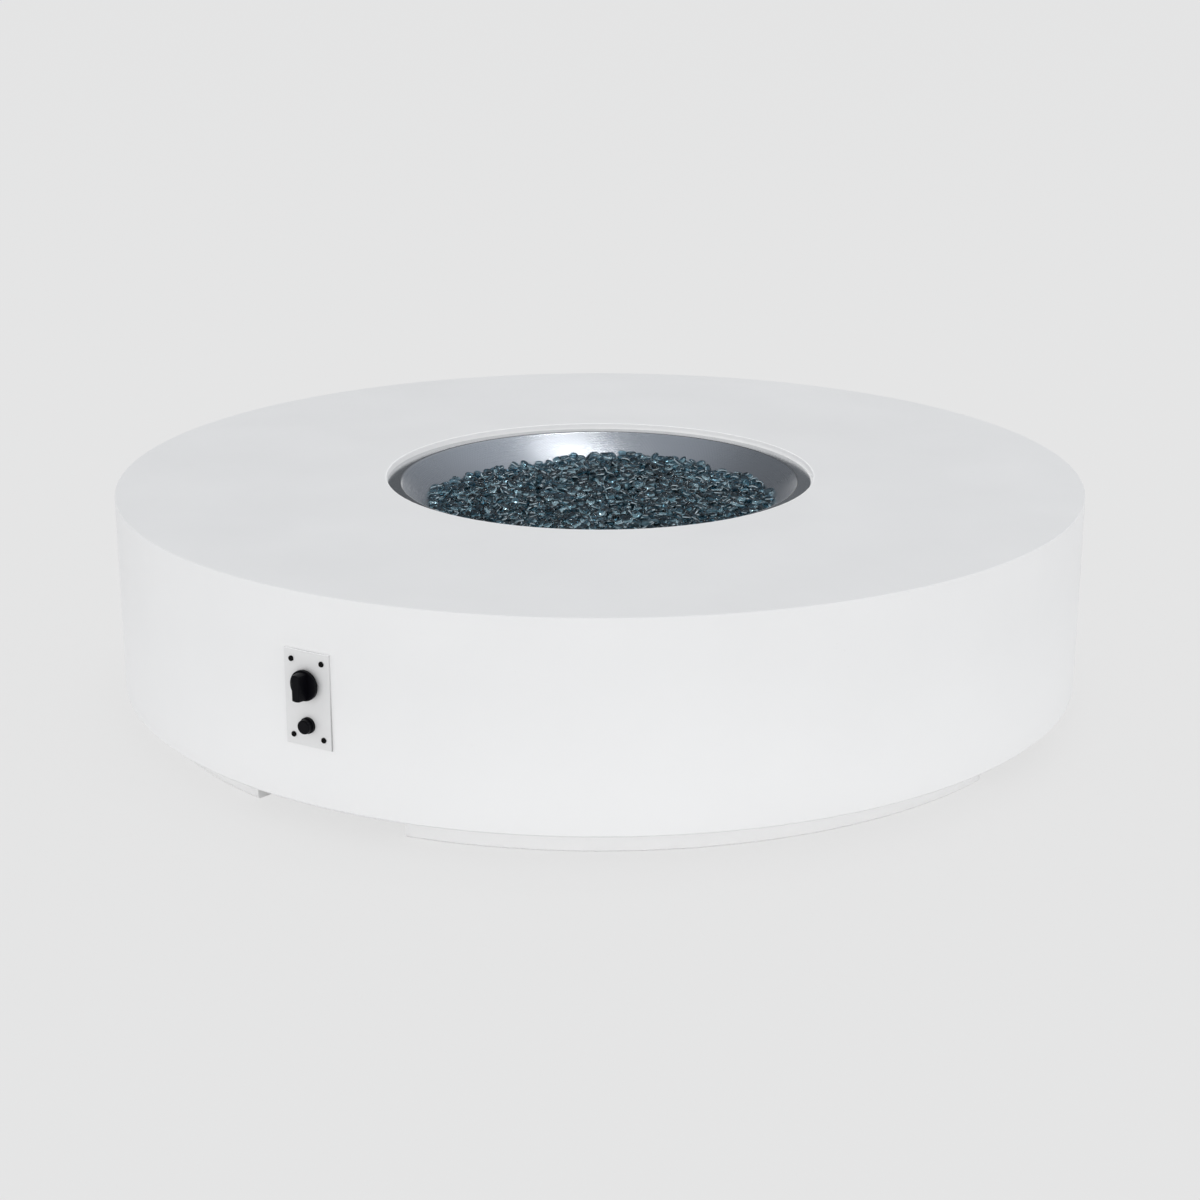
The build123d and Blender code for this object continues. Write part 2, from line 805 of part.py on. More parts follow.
def box_screws():
    """Screws from inside the drum through the ears into the skirt."""
    rear = ear_depth + box_gauge
    one = rod(box_screw_head_diameter, -rear - box_screw_head_height, -rear)
    one = chamfer(one.edges().group_by(Axis.Z)[0], box_screw_head_height / 2)
    one += rod(box_screw_diameter, -rear, box_screw_length - ear_depth - seat_clearance)
    places = corner_points(box_screw_spacing_side, box_screw_spacing_up)
    return [panel * place * one for place in places]


def plate_nuts():
    """Clinch nuts behind the box's front frame."""
    bore = plate_screw_diameter + 2 * thread_clearance
    one = tube(plate_nut_diameter, bore, -box_gauge - plate_nut_height, -box_gauge)
    places = corner_points(plate_screw_spacing_side, plate_screw_spacing_up)
    return [panel * place * one for place in places]


def control_plate():
    """Flat plate with its screw holes, the stem hole and the igniter hole."""
    plate = slab(plate_width, plate_height, 0, plate_thickness)
    plate = chamfer(plate.edges().group_by(Axis.Z)[-1], plate_bevel)
    for place in corner_points(plate_screw_spacing_side, plate_screw_spacing_up):
        plate -= place * rod(plate_screw_diameter + 2 * hole_clearance, -cut_margin, 2 * cut_margin)
    stem_hole = stem_diameter + 2 * hole_clearance
    plate -= Pos(0, valve_lift, 0) * rod(stem_hole, -cut_margin, 2 * cut_margin)
    for side in (-1, 1):
        screw_hole = rod(valve_screw_diameter + 2 * hole_clearance, -cut_margin, 2 * cut_margin)
        plate -= Pos(side * valve_screw_spacing / 2, valve_lift, 0) * screw_hole
    barrel_hole = rod(igniter_barrel_diameter + 2 * hole_clearance, -cut_margin, 2 * cut_margin)
    plate -= Pos(0, -igniter_drop, 0) * barrel_hole
    return panel * plate


def plate_screws():
    """The four black screws of the plate."""
    one = socket_screw(
        plate_screw_diameter,
        plate_screw_length,
        plate_screw_head_diameter,
        plate_screw_head_height,
        plate_screw_key,
    )
    places = corner_points(plate_screw_spacing_side, plate_screw_spacing_up)
    return [panel * place * Pos(0, 0, plate_thickness) * one for place in places]


def valve_screws():
    """Two screws under the knob that hold plate, bonnet and valve together."""
    one = rod(valve_screw_head_diameter, 0, valve_screw_head_height)
    one = chamfer(one.edges().group_by(Axis.Z)[-1], valve_screw_head_height / 2)
    one += rod(valve_screw_diameter, -plate_thickness - bonnet_thickness - valve_flange_thickness, 0)
    sides = (-valve_screw_spacing / 2, valve_screw_spacing / 2)
    return [valve_axis * Pos(side, 0, plate_thickness) * one for side in sides]


def valve_bonnet():
    """Front cover of the valve, behind the plate, which keeps the stem's collar in."""
    bonnet = slab(bonnet_width, bonnet_height, -bonnet_thickness, 0, bonnet_corner_radius)
    bonnet -= rod(stem_diameter + 2 * running_clearance, -bonnet_thickness - cut_margin, cut_margin)
    for side in (-1, 1):
        hole = rod(valve_screw_diameter + 2 * hole_clearance, -bonnet_thickness - cut_margin, cut_margin)
        bonnet -= Pos(side * valve_screw_spacing / 2, 0, 0) * hole
    return valve_axis * bonnet


def cone_frustum(front_diameter, rear_diameter, front, rear):
    """Cone along the valve's axis, wide end in front. Depths are counted behind the plate."""
    height = rear - front
    cone = Cone(rear_diameter / 2, front_diameter / 2, height)
    return Pos(0, 0, -(front + rear) / 2) * cone


def valve_port_turn(side):
    """From the valve's own axis: the inlet to the left (-1), the outlet to the right (1)."""
    depth = outlet_port_depth if side > 0 else inlet_port_depth
    return Pos(0, 0, -depth) * Rot(0, side * 90, 0)


def valve_body():
    """Valve casting: gas enters behind the tapered plug and leaves at its side."""
    front = -bonnet_thickness
    rear = -valve_rear
    back = front - valve_flange_thickness
    body = slab(bonnet_width, bonnet_height, back, front, bonnet_corner_radius)
    body += rod(valve_body_diameter, rear, front)
    ports = [valve_port_turn(side) for side in (-1, 1)]
    for port in ports:
        body += port * rod(port_boss_diameter, 0, port_boss_reach)
        body += port * rod(flare_diameter, 0, port_end)
    body -= rod(spring_chamber_diameter, -plug_front, cut_margin)
    # The bore's taper goes on a little past the plug, so that the plug can't bottom.
    taper = (plug_front_diameter - plug_rear_diameter) / plug_length
    slack = 2 * running_clearance
    body -= cone_frustum(
        plug_front_diameter + slack,
        plug_rear_diameter + slack - taper,
        plug_front,
        plug_rear + 1,
    )
    body -= rod(rear_chamber_diameter, -valve_rear - cut_margin, -plug_rear)
    for port in ports:
        body -= port * rod(plug_port_diameter, 0, port_end + cut_margin)
    for side in (-1, 1):
        hole = rod(valve_screw_diameter + 2 * thread_clearance, back - seat_clearance, cut_margin)
        body -= Pos(side * valve_screw_spacing / 2, 0, 0) * hole
    return valve_axis * body


def valve_plug():
    """Tapered plug, hollow from behind, with a high and a low port, and a slot in front."""
    plug = cone_frustum(plug_front_diameter, plug_rear_diameter, plug_front, plug_rear)
    slot_depth = stem_tang_length + knob_travel + seat_clearance
    slack = 2 * running_clearance
    slot = Box(stem_tang_width + slack, stem_tang_breadth + slack, slot_depth * 2)
    plug -= Pos(0, 0, -plug_front) * slot
    outlet = valve_port_turn(1)
    for turn, bore in ((knob_high_turn, plug_port_diameter), (knob_low_turn, plug_low_port_diameter)):
        plug -= Rot(0, 0, -turn) * outlet * rod(bore, 0, plug_front_diameter)
    plug -= rod(plug_port_diameter, -plug_rear - cut_margin, -outlet_port_depth)
    return valve_axis * plug


def valve_stem():
    """Stem with a flat for the knob, a collar against the bonnet and a tang in the plug."""
    flat_start = plate_thickness + cut_margin
    shaft_end = -plug_front + knob_travel + seat_clearance
    shaft = rod(stem_diameter, shaft_end, plate_thickness + stem_tip_height)
    cut = Box(stem_diameter, stem_diameter, stem_tip_height)
    high = flat_start + stem_tip_height / 2
    shaft -= Pos(stem_diameter - stem_flat, 0, high) * cut
    collar_top = -bonnet_thickness - seat_clearance
    shaft += rod(stem_collar_diameter, collar_top - stem_collar_thickness, collar_top)
    tang_end = -plug_front - stem_tang_length
    tang = Box(stem_tang_width, stem_tang_breadth, shaft_end - tang_end)
    shaft += Pos(0, 0, (shaft_end + tang_end) / 2) * tang
    return valve_axis * shaft


def stem_spring():
    """Return spring of the knob, between the plug and the stem's collar, as its sleeve."""
    low = -plug_front + seat_clearance
    high = -bonnet_thickness - stem_collar_thickness - 2 * seat_clearance
    return valve_axis * tube(stem_spring_diameter, stem_spring_diameter - 2 * spring_wire, low, high)


def safety_magnet():
    """Flame safety unit screwed on behind the valve, with the stud of the sensor lead."""
    rear = -valve_rear - magnet_length
    unit = hexagon(magnet_width, rear, -valve_rear)
    unit += rod(magnet_stud_diameter, -magnet_rear, rear)
    spigot = rear_chamber_diameter - 2 * thread_clearance
    unit += rod(spigot, -valve_rear, -valve_rear + magnet_spigot_length)
    return valve_axis * unit


def control_knob():
    """Knob: thin round skirt, hollow behind, with a drafted bar grip across it."""
    rear = plate_thickness + knob_gap
    front = rear + knob_skirt_height
    skirt = rod(knob_diameter, rear, front)
    skirt = fillet(skirt.edges().group_by(Axis.Z)[-1], knob_round)
    bar = Pos(0, 0, front) * Rectangle(knob_grip_width, knob_grip_length)
    grip = extrude(bar, knob_grip_height, taper=knob_grip_draft)
    lean = math.tan(math.radians(knob_grip_draft)) * knob_grip_height
    ends = Cone(knob_grip_length / 2, knob_grip_length / 2 - lean, knob_grip_height)
    grip &= Pos(0, 0, front + knob_grip_height / 2) * ends
    grip = fillet(grip.edges().group_by(Axis.Z)[-1], knob_round)
    knob = skirt + grip
    cavity = rod(knob_skirt_cavity_diameter, rear - cut_margin, rear + knob_skirt_cavity_depth)
    knob -= cavity - rod(knob_boss_diameter, rear - cut_margin, front)
    bore = rod(stem_diameter + 2 * thread_clearance, rear - cut_margin, rear + knob_bore_depth)
    key = Box(stem_diameter, stem_diameter, 2 * stem_tip_height)
    bore -= Pos(stem_diameter - stem_flat + thread_clearance, 0, rear) * key
    knob -= bore
    return valve_axis * knob


def igniter_body():
    """Igniter: bezel in front of the plate, barrel through it, two terminals behind."""
    front = plate_thickness + igniter_bezel_height
    body = rod(igniter_bezel_diameter, plate_thickness, front)
    body = fillet(body.edges().group_by(Axis.Z)[-1], igniter_bezel_round)
    body += rod(igniter_barrel_diameter, -igniter_rear, plate_thickness)
    recess = button_diameter + 2 * hole_clearance
    body -= rod(recess, front - igniter_bezel_recess_depth, front + cut_margin)
    bore = igniter_barrel_diameter - 2 * igniter_barrel_wall
    body -= rod(bore, -igniter_rear + 2 * igniter_barrel_wall, front + cut_margin)
    blade = Box(terminal_width, terminal_thickness, terminal_length)
    for side in (-1, 1):
        place = Pos(0, side * igniter_barrel_diameter / 4, -igniter_rear - terminal_length / 2)
        body += place * blade
    return igniter_axis * body


def igniter_nut():
    """Thin nut that holds the igniter behind the plate."""
    nut = hexagon(igniter_nut_width, -igniter_nut_height, 0)
    bore = igniter_barrel_diameter + 2 * thread_clearance
    return igniter_axis * (nut - rod(bore, -igniter_nut_height - cut_margin, cut_margin))


def battery_front():
    """Depth of the battery's front end, measured outwards from the back of the plate."""
    return -igniter_rear + 2 * igniter_barrel_wall + seat_clearance + battery_length


def battery():
    """The cell that feeds the igniter, with its small front cap."""
    high = battery_front()
    cell = rod(battery_diameter, high - battery_length, high - 1)
    return igniter_axis * (cell + rod(battery_diameter / 3, high - 1, high))


def button_rear():
    """Depth of the back of the button's head, at rest."""
    recess_floor = plate_thickness + igniter_bezel_height - igniter_bezel_recess_depth
    return recess_floor + button_travel + 2 * seat_clearance


def button_hollow_end():
    """Depth of the floor inside the button's hollow stem."""
    return button_rear() - 1


def igniter_button():
    """Push button: a flat head with a rounded edge, and a hollow stem in the barrel."""
    rear = button_rear()
    head = rod(button_diameter, rear, rear + button_height)
    head = fillet(head.edges().group_by(Axis.Z)[-1], button_round)
    bore = igniter_barrel_diameter - 2 * igniter_barrel_wall
    stem = bore - 2 * running_clearance
    head += rod(stem, rear - button_stem_length, rear)
    hollow = stem - 2 * button_stem_wall
    head -= rod(hollow, rear - button_stem_length - cut_margin, button_hollow_end())
    return igniter_axis * head


def igniter_spring():
    """Return spring of the button, between the battery and the button, as its sleeve."""
    low = battery_front() + seat_clearance
    high = button_hollow_end() - seat_clearance
    inner = igniter_spring_diameter - 2 * spring_wire
    return igniter_axis * tube(igniter_spring_diameter, inner, low, high)


def hose_nut():
    """Flare nut: its wide bore takes the port, its narrow bore the hose. Port at -Z."""
    nut = hexagon(hose_nut_width, 0, hose_nut_length)
    nut -= rod(flare_diameter + 2 * thread_clearance, -cut_margin, flare_length)
    nut -= rod(hose_diameter + 2 * thread_clearance, 0, hose_nut_length + cut_margin)
    return nut


def valve_port(side):
    """Plane on the end of a valve port, looking out of it. side is -1 or 1."""
    end = (valve_axis * valve_port_turn(side) * Pos(0, 0, port_end)).position
    return Plane(origin=end, z_dir=panel_side * side)


def elbow_port():
    """Plane on the end of the elbow's port, looking out of it."""
    return Plane(origin=bowl_point(0, elbow_port_reach, elbow_height), z_dir=panel_out)


def inlet_port():
    """Plane on the top of the inlet fitting, looking up."""
    return Plane(origin=toward_panel(inlet_side, inlet_reach, inlet_top), z_dir=(0, 0, 1))


def hose_nuts():
    """The four flare nuts at the ends of the two hoses."""
    ports = (valve_port(-1), valve_port(1), inlet_port(), elbow_port())
    return [port * Pos(0, 0, -flare_length) * hose_nut() for port in ports]


def burner_hose():
    """Hose from the valve's right port, hanging under the bowl, to the burner's elbow."""
    start = valve_port(1).origin
    end = elbow_port().origin
    beside = start + panel_side * hose_straight_run
    behind = beside - panel_out * 2 * hose_straight_run - Vector(0, 0, hose_sag)
    before = end + panel_out * hose_straight_run
    middle = (behind + before) / 2 + panel_side * hose_sway - Vector(0, 0, hose_sag)
    return hose_run([start, beside, behind, middle, before, end], hose_diameter)


def supply_hose():
    """Hose from the valve's left port down to the inlet fitting."""
    start = valve_port(-1).origin
    end = inlet_port().origin
    beside = start + panel_side * (inlet_side + port_end)
    above = end + Vector(0, 0, hose_straight_run)
    return hose_run([start, beside, above, end], hose_diameter)


def lead_route(start, side, direction):
    """Points of a lead from the control box under the bowl and up through its grommet."""
    foot = bowl_point(side, sensor_reach, sensor_foot())
    low = bowl_point(side, sensor_reach, lead_height)
    apart = side + direction * lead_spread / 2
    near = bowl_point(apart, sensor_reach + lead_rise_run, lead_height - lead_dip / 2)
    away = start - panel_out * lead_straight_run
    half_way = (sensor_reach + seat_distance) / 2
    level = toward_panel(direction * lead_spread, half_way, lead_height - lead_dip)
    return [start, away, level, near, low, foot]


def sensor_lead():
    """Copper lead of the flame sensor, from the safety magnet to the sensor."""
    start = (valve_axis * Pos(0, 0, -magnet_rear)).position
    return hose_run(lead_route(start, -sensor_spacing / 2, -1), sensor_lead_diameter)


def ignition_wire():
    """Insulated wire from the igniter's lower terminal to the spark electrode."""
    low = -igniter_barrel_diameter / 4
    start = (igniter_axis * Pos(0, low, -igniter_rear - terminal_length)).position
    return hose_run(lead_route(start, sensor_spacing / 2, 1), ignition_wire_diameter)


def inlet_frame(height):
    """Plane at a height above the inlet's axis, X sideways and Y towards the middle."""
    return Plane(
        origin=toward_panel(inlet_side, inlet_reach, height), x_dir=panel_side, z_dir=(0, 0, 1)
    )


def inlet_bracket():
    """Folded steel shelf on the base flange that holds the inlet fitting."""
    inner = inlet_bracket_overhang
    outer = inlet_reach - inlet_bracket_outer_reach
    middle = (inner + outer) / 2
    length = inner - outer
    shelf = slab(inlet_bracket_width, length, 0, inlet_bracket_gauge)
    for side in (-1, 1):
        x = side * (inlet_bracket_width - inlet_bracket_gauge) / 2
        lip = slab(inlet_bracket_gauge, length, 0, inlet_bracket_lip)
        shelf += Pos(x, 0, 0) * lip
    bracket = inlet_frame(base_flange_top) * Pos(0, middle, 0) * shelf
    shank = inlet_shank_diameter + 2 * hole_clearance
    bracket -= inlet_frame(base_flange_top) * rod(shank, -cut_margin, 2 * cut_margin)
    for place in inlet_screw_places():
        bracket -= place * rod(inlet_screw_diameter + 2 * hole_clearance, -cut_margin, 2 * cut_margin)
    return bracket


def inlet_screws():
    """Two screws of the inlet bracket in the base flange."""
    one = bolt(
        inlet_screw_diameter,
        inlet_screw_length + inlet_bracket_gauge - seat_clearance,
        inlet_screw_head_width,
        inlet_screw_head_height,
    )
    return [place * Pos(0, 0, inlet_bracket_gauge) * one for place in inlet_screw_places()]


def inlet_fitting():
    """Bulkhead fitting: female pipe thread below, hexagon on the shelf, flare on top."""
    body = hexagon(inlet_hex_width, inlet_bracket_top, inlet_bracket_top + inlet_hex_height)
    body += rod(inlet_shank_diameter, inlet_bottom, inlet_bracket_top)
    body += rod(flare_diameter, inlet_bracket_top, inlet_top)
    body -= rod(inlet_bore_diameter, inlet_bottom - cut_margin, inlet_bottom + inlet_bore_depth)
    body -= rod(inlet_passage_diameter, inlet_bottom, inlet_top + cut_margin)
    return inlet_frame(0) * body


def inlet_locknut():
    """Nut under the shelf that holds the inlet fitting."""
    nut = hexagon(inlet_hex_width, base_flange_top - locknut_height, base_flange_top)
    bore = inlet_shank_diameter + 2 * thread_clearance
    low = base_flange_top - locknut_height - cut_margin
    return inlet_frame(0) * (nut - rod(bore, low, base_flange_top + cut_margin))


os.makedirs("parts", exist_ok=True)

segment_names = ("front", "right", "back", "left")
nodes = {
    f"toe_segment_{name}": toe_segment(start) for name, start in zip(segment_names, toe_bearings())
}
makers = (
    concrete_shell,
    toe_bolts,
    burner_bowl,
    burner_ring,
    burner_nipple,
    nipple_nuts,
    air_mixer,
    orifice_elbow,
    electrode_bracket,
    flame_hood,
    flame_sensor,
    spark_electrode,
    bowl_grommets,
    fire_glass_bed,
    fire_glass_beads,
    control_box,
    box_screws,
    plate_nuts,
    control_plate,
    plate_screws,
    valve_screws,
    valve_bonnet,
    valve_body,
    valve_plug,
    valve_stem,
    stem_spring,
    safety_magnet,
    control_knob,
    igniter_body,
    igniter_nut,
    battery,
    igniter_button,
    igniter_spring,
    hose_nuts,
    burner_hose,
    supply_hose,
    sensor_lead,
    ignition_wire,
    inlet_bracket,
    inlet_screws,
    inlet_fitting,
    inlet_locknut,
)
for maker in makers:
    nodes[maker.__name__] = maker()

for name, shape in nodes.items():
    pieces = shape if isinstance(shape, list) else [shape]
    solids = [solid for piece in pieces for solid in piece.solids()]
    export_step(Compound(children=solids), f"parts/{name}.step")
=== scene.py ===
"""The looks of a concrete gas fire pit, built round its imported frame. Metres, Z up."""

import json
import math
import random

import bpy
from mathutils import Euler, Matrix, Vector


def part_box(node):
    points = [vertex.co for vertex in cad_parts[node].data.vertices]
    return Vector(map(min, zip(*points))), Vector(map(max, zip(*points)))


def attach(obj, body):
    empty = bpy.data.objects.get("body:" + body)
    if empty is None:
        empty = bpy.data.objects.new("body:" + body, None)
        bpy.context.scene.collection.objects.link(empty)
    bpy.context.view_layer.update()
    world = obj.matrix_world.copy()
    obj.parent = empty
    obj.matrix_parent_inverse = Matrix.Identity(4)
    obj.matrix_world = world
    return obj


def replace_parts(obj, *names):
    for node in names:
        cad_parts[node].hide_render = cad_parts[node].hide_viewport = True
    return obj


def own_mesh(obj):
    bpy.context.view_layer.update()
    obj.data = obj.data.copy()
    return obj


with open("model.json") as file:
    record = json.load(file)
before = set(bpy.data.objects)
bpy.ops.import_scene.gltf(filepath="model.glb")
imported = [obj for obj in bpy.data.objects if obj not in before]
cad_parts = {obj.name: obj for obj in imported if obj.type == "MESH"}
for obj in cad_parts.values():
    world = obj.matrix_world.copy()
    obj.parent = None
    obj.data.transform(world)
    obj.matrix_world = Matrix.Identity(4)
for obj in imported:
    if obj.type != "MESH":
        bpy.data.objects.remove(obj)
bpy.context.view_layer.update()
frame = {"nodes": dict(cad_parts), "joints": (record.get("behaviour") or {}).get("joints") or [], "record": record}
nodes = frame["nodes"]
joints = {joint["name"]: joint for joint in frame["joints"]}


def measured(length):
    """A length read from the frame, to a hundredth of a millimetre."""
    return round(length, 5)


# The photograph's view
CAMERA_BACK = 3.6492
CAMERA_HEIGHT = 1.2772
CAMERA_TILT = 72.565
CAMERA_LENS = 70.52
CAMERA_SENSOR = 36
CAMERA_CLIP = 200

# The opening in the deck, and the bowl that sits in it
bowl_low, bowl_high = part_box("burner_bowl")
DECK_TOP = measured(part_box("concrete_shell")[1].z)
RIM_TOP = measured(bowl_high.z)
RIM_RADIUS = measured((bowl_high.y - bowl_low.y) / 2)
RIM_CLEARANCE = 0.0025
RIM_WIDTH = 0.02075
OPENING_RADIUS = RIM_RADIUS + RIM_CLEARANCE
MOUTH_RADIUS = RIM_RADIUS - RIM_WIDTH
BOWL_CENTRE = Vector((measured((bowl_low.x + bowl_high.x) / 2), 0, 0))
BOWL_DEPTH = 0.115
DISH_RADIUS = (MOUTH_RADIUS**2 + BOWL_DEPTH**2) / (2 * BOWL_DEPTH)
DISH_CENTRE = RIM_TOP - BOWL_DEPTH + DISH_RADIUS

# The heap of glass: a level that slopes up to the right, with swells and ripples on it
GLASS_TOP = 0.3075
GLASS_SLOPE = 0.008
# Each swell: its rise, its place to the right and to the back, and its spread
GLASS_SWELLS = (
    (0.006, 0.085, 0.27, 0.006),
    (-0.004, -0.13, 0.22, 0.012),
    (-0.004, 0.20, 0.17, 0.006),
    (0.006, -0.29, 0.0, 0.006),
)
# Each ripple: its rise, its radians per metre to the right and to the back, and its start
GLASS_RIPPLES = ((0.0014, 31, 7, 0), (0.0012, -17, 43, 1.3))
GLASS_LAYER = 0.026
GLASS_PIECES = 3

# How the beads settle: the room that each takes up, where they are dropped, and when to stop
BEAD_SEED = 7
BEAD_RADIUS = 0.0067
BEAD_HALF = 0.0048
BEAD_REACH = 0.296
DROP_RADIUS = 0.292
ROLL_TRIES = 5
ROLL_SHRINK = 0.8
BEAD_SHOULDER = 0.7
BEAD_PROUD = 0.0035
MISSES_WHEN_FULL = 2500

# The shape of a bead: half sizes from smallest to largest, its bend, lumps and lie
BEAD_KINDS = 28
BEAD_SPOKES = 12
BEAD_RINGS = 8
BEAD_SQUARE = 0.86
BEAD_LONG = (0.0078, 0.0102)
BEAD_WIDE = (0.0060, 0.0078)
BEAD_THICK = (0.0036, 0.0049)
BEAD_BEND = 14
BEAD_LUMPS = 3
LUMP_RISE = 0.04
LUMP_PITCH = 3
LUMP_START = 6
BEAD_TILT = 0.38
BEAD_TURN = 6.28

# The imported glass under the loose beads
BED_RADIUS = 0.240
BED_SPOKES = 96
BED_RINGS = 36
BED_CLEARANCE = 0.0006
BED_THINNEST = 0.0002

# Painted highlights on the rims of the beads: a pale opaque finish mixed into the glass
PAINTED_GLINT_TINT = (0.72, 0.86, 0.93, 1)
PAINTED_GLINT_ROUGHNESS = 0.3

# The controls: outward from their plate, along its width, and its own measures
PANEL_OUT = Vector(joints["knob_turn"]["axis"])
PANEL_SIDE = Vector((-PANEL_OUT.y, PANEL_OUT.x, 0))
PLATE_HALF_WIDTH = 0.038
PLATE_TOP = measured(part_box("control_plate")[1].z)
SPRING_WIRE = 0.0012
SPRING_TURNS = 7
SPRING_STEPS = 20
SPRING_SIDES = 8

# What the camera, metal and glass see: a pale floor and horizon, under a dim room
BACKGROUND = (0.7758, 0.7758, 0.7758, 1)
FLOOR_GLOW = 0.9
FLOOR_HALF = 40
FLOOR_DROP = 0.0005
ROOM_TINT = (0.93, 1.0, 1.1)


class Wire:
    """One socket of a shader tree. Arithmetic on it adds Math nodes."""

    def __init__(self, tree, socket=None):
        self.tree = tree
        self.socket = socket

    def add(self, kind, settings=None, sockets=None, output=0):
        """Any node: its settings come first, then the values or links of its sockets."""
        node = self.tree.nodes.new(kind)
        for name, value in (settings or {}).items():
            setattr(node, name, value)
        for name, value in (sockets or {}).items():
            if isinstance(value, Wire):
                self.tree.links.new(value.socket, node.inputs[name])
            else:
                node.inputs[name].default_value = value
        return Wire(self.tree, node.outputs[output]) if node.outputs else None

    def math(self, operation, *values):
        return self.add("ShaderNodeMath", {"operation": operation}, dict(enumerate(values)))

    def __add__(self, other):
        return self.math("ADD", self, other)

    def __sub__(self, other):
        return self.math("SUBTRACT", self, other)

    def __rsub__(self, other):
        return self.math("SUBTRACT", other, self)

    def __mul__(self, other):
        return self.math("MULTIPLY", self, other)

    def __pow__(self, other):
        return self.math("POWER", self, other)

    __radd__ = __add__
    __rmul__ = __mul__


def coordinate(place, axis):
    """How far a place lies along X, Y or Z."""
    return place.add("ShaderNodeSeparateXYZ", sockets={0: place}, output=axis)


def from_middle(place):
    """How far a place lies from the upright line through the origin."""
    across = coordinate(place, "X")
    along = coordinate(place, "Y")
    return (across * across + along * along) ** 0.5


def noise(place, scale, detail=2, roughness=0.5):
    sockets = {"Vector": place, "Scale": scale, "Detail": detail, "Roughness": roughness}
    return place.add("ShaderNodeTexNoise", sockets=sockets, output="Fac")


def cells(place, scale):
    """How far a place lies from the middle of the nearest of many uneven cells."""
    return place.add("ShaderNodeTexVoronoi", sockets={"Vector": place, "Scale": scale}, output="Distance")


def stretched(place, factors):
    """The place, scaled by its own factor along each axis."""
    settings = {"operation": "MULTIPLY"}
    return place.add("ShaderNodeVectorMath", settings, {0: place, 1: factors})


def spread(value, low, high):
    """A 0 to 1 value spread over a range, and held inside it."""
    sockets = {"Value": value, "To Min": low, "To Max": high}
    return value.add("ShaderNodeMapRange", sockets=sockets)


def narrowed(value, low, high):
    """0 below low, 1 above high, and a smooth step between them."""
    settings = {"interpolation_type": "SMOOTHSTEP"}
    sockets = {"Value": value, "From Min": low, "From Max": high}
    return value.add("ShaderNodeMapRange", settings, sockets)


def mixed(factor, first, second):
    """A colour between two others. Sockets 6 and 7, and output 2, are the Mix node's colours."""
    sockets = {0: factor, 6: first, 7: second}
    return factor.add("ShaderNodeMix", {"data_type": "RGBA"}, sockets, 2)


def bump(height, depth):
    return height.add("ShaderNodeBump", sockets={"Height": height, "Distance": depth}, output="Normal")


def grey(level, blue=0.0):
    return (level, level, level + blue, 1)


def clouded(cloud, dark, light, roughness, relief):
    """A finish whose colour and roughness follow a cloud, with the relief of its skin."""
    return {
        "Base Color": mixed(spread(cloud, 0, 1), dark, light),
        "Roughness": spread(cloud, *roughness),
        "Normal": relief,
    }


def material(name, constants, pattern):
    """A Principled finish: constants sit on its sockets, pattern gives those that vary.

    Where a pattern gives painted glints, a pale opaque finish is mixed in by that factor, as a painted highlight.
    """
    made = bpy.data.materials.new(name)
    made.use_nodes = True
    made.node_tree.nodes.clear()
    start = Wire(made.node_tree)
    place = start.add("ShaderNodeTexCoord", output="Object")
    sockets = dict(constants)
    sockets.update(pattern(place))
    glints = sockets.pop("glints", None)
    surface = start.add("ShaderNodeBsdfPrincipled", sockets=sockets)
    if glints is not None:
        painted_glint = {"Base Color": PAINTED_GLINT_TINT, "Roughness": PAINTED_GLINT_ROUGHNESS}
        pale = start.add("ShaderNodeBsdfPrincipled", sockets=painted_glint)
        surface = start.add("ShaderNodeMixShader", sockets={0: glints, 1: surface, 2: pale})
    start.add("ShaderNodeOutputMaterial", sockets={"Surface": surface})
    return made


def concrete_pattern(place):
    """Smooth pale casting: faint clouds, fine sand and a few pinholes.

    It is paler towards its foot, which is painted light from below, and on the upper part of the opening's wall,
    which is a painted highlight.
    """
    up = coordinate(place, "Z")
    near_opening = 1 - narrowed(from_middle(place), OPENING_RADIUS + 0.0005, OPENING_RADIUS + 0.003)
    # Painted highlight: the upper part of the opening's wall is made paler.
    wall_painted_highlight = near_opening * narrowed(up, DECK_TOP - 0.021, DECK_TOP - 0.014)
    cloud = noise(place, 5, 4, 0.55)
    sand = noise(place, 900, 2)
    tone = cloud * 0.8 + sand * 0.2
    rare = narrowed(noise(place, 14, 1), 0.6, 0.7)
    pinhole = (1 - narrowed(cells(place, 70), 0.03, 0.07)) * rare
    colour = mixed(spread(tone, 0, 1), grey(0.765), grey(0.825))
    colour = mixed(pinhole * 0.25, colour, grey(0.6))
    colour = mixed(wall_painted_highlight, colour, grey(0.96))
    # Painted light from below: the colour grows paler towards the foot.
    foot_painted_light = 1 - narrowed(up, 0.03, 0.30)
    colour = mixed(foot_painted_light * 0.35, colour, grey(0.92))
    height = sand * 0.15 + cloud * 0.5 - pinhole
    return {
        "Base Color": colour,
        "Roughness": spread(cloud, 0.62, 0.78),
        "Normal": bump(height, 0.00025),
    }


def toe_pattern(place):
    """The toe pieces: a shade paler than the body, which is painted light that lifts their shade under the drum,
    and drier.
    """
    cloud = noise(place, 8, 4, 0.55)
    sand = noise(place, 900, 2)
    return {
        # Painted light: the toe's colour is lifted against the shade under the drum.
        "Base Color": mixed(spread(cloud * 0.8 + sand * 0.2, 0, 1), grey(0.90), grey(0.95)),
        "Roughness": spread(cloud, 0.68, 0.82),
        "Normal": bump(sand * 0.15 + cloud * 0.5, 0.00025),
    }


